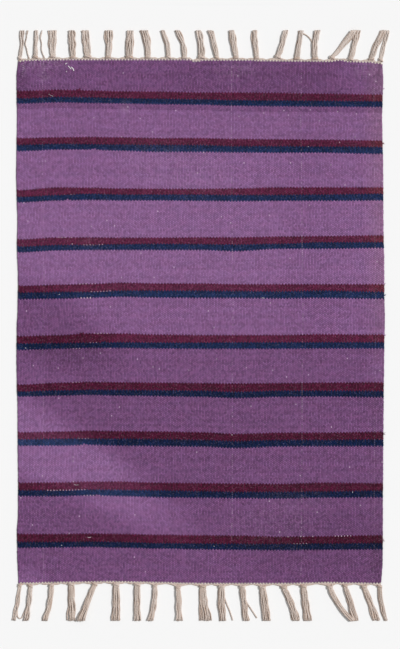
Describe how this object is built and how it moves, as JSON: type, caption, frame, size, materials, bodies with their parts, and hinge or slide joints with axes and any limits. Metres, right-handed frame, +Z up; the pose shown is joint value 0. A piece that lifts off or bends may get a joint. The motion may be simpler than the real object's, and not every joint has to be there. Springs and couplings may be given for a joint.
{
  "type": "kilim rug",
  "caption": "Flat-woven rug with woven colour bands, wavy selvedges and knotted warp fringes along its short edges, lying flat.",
  "frame": {"origin": "middle of the rug's outer box, on the surface that it lies on", "axes": "+Z up from the surface, +Y along the rug towards the top fringe, +X across the rug"},
  "size_m": [0.9522, 1.49, 0.0095],
  "materials": {
    "woven_wool": "weft-faced plain weave of dyed wool, matt, purple with pairs of burgundy and navy bands",
    "cotton_warp": "plied undyed cotton yarn, matt"
  },
  "bodies": {
    "root": {"cloth": "woven_wool", "fringe_top": "cotton_warp", "fringe_bottom": "cotton_warp"}
  },
  "joints": []
}
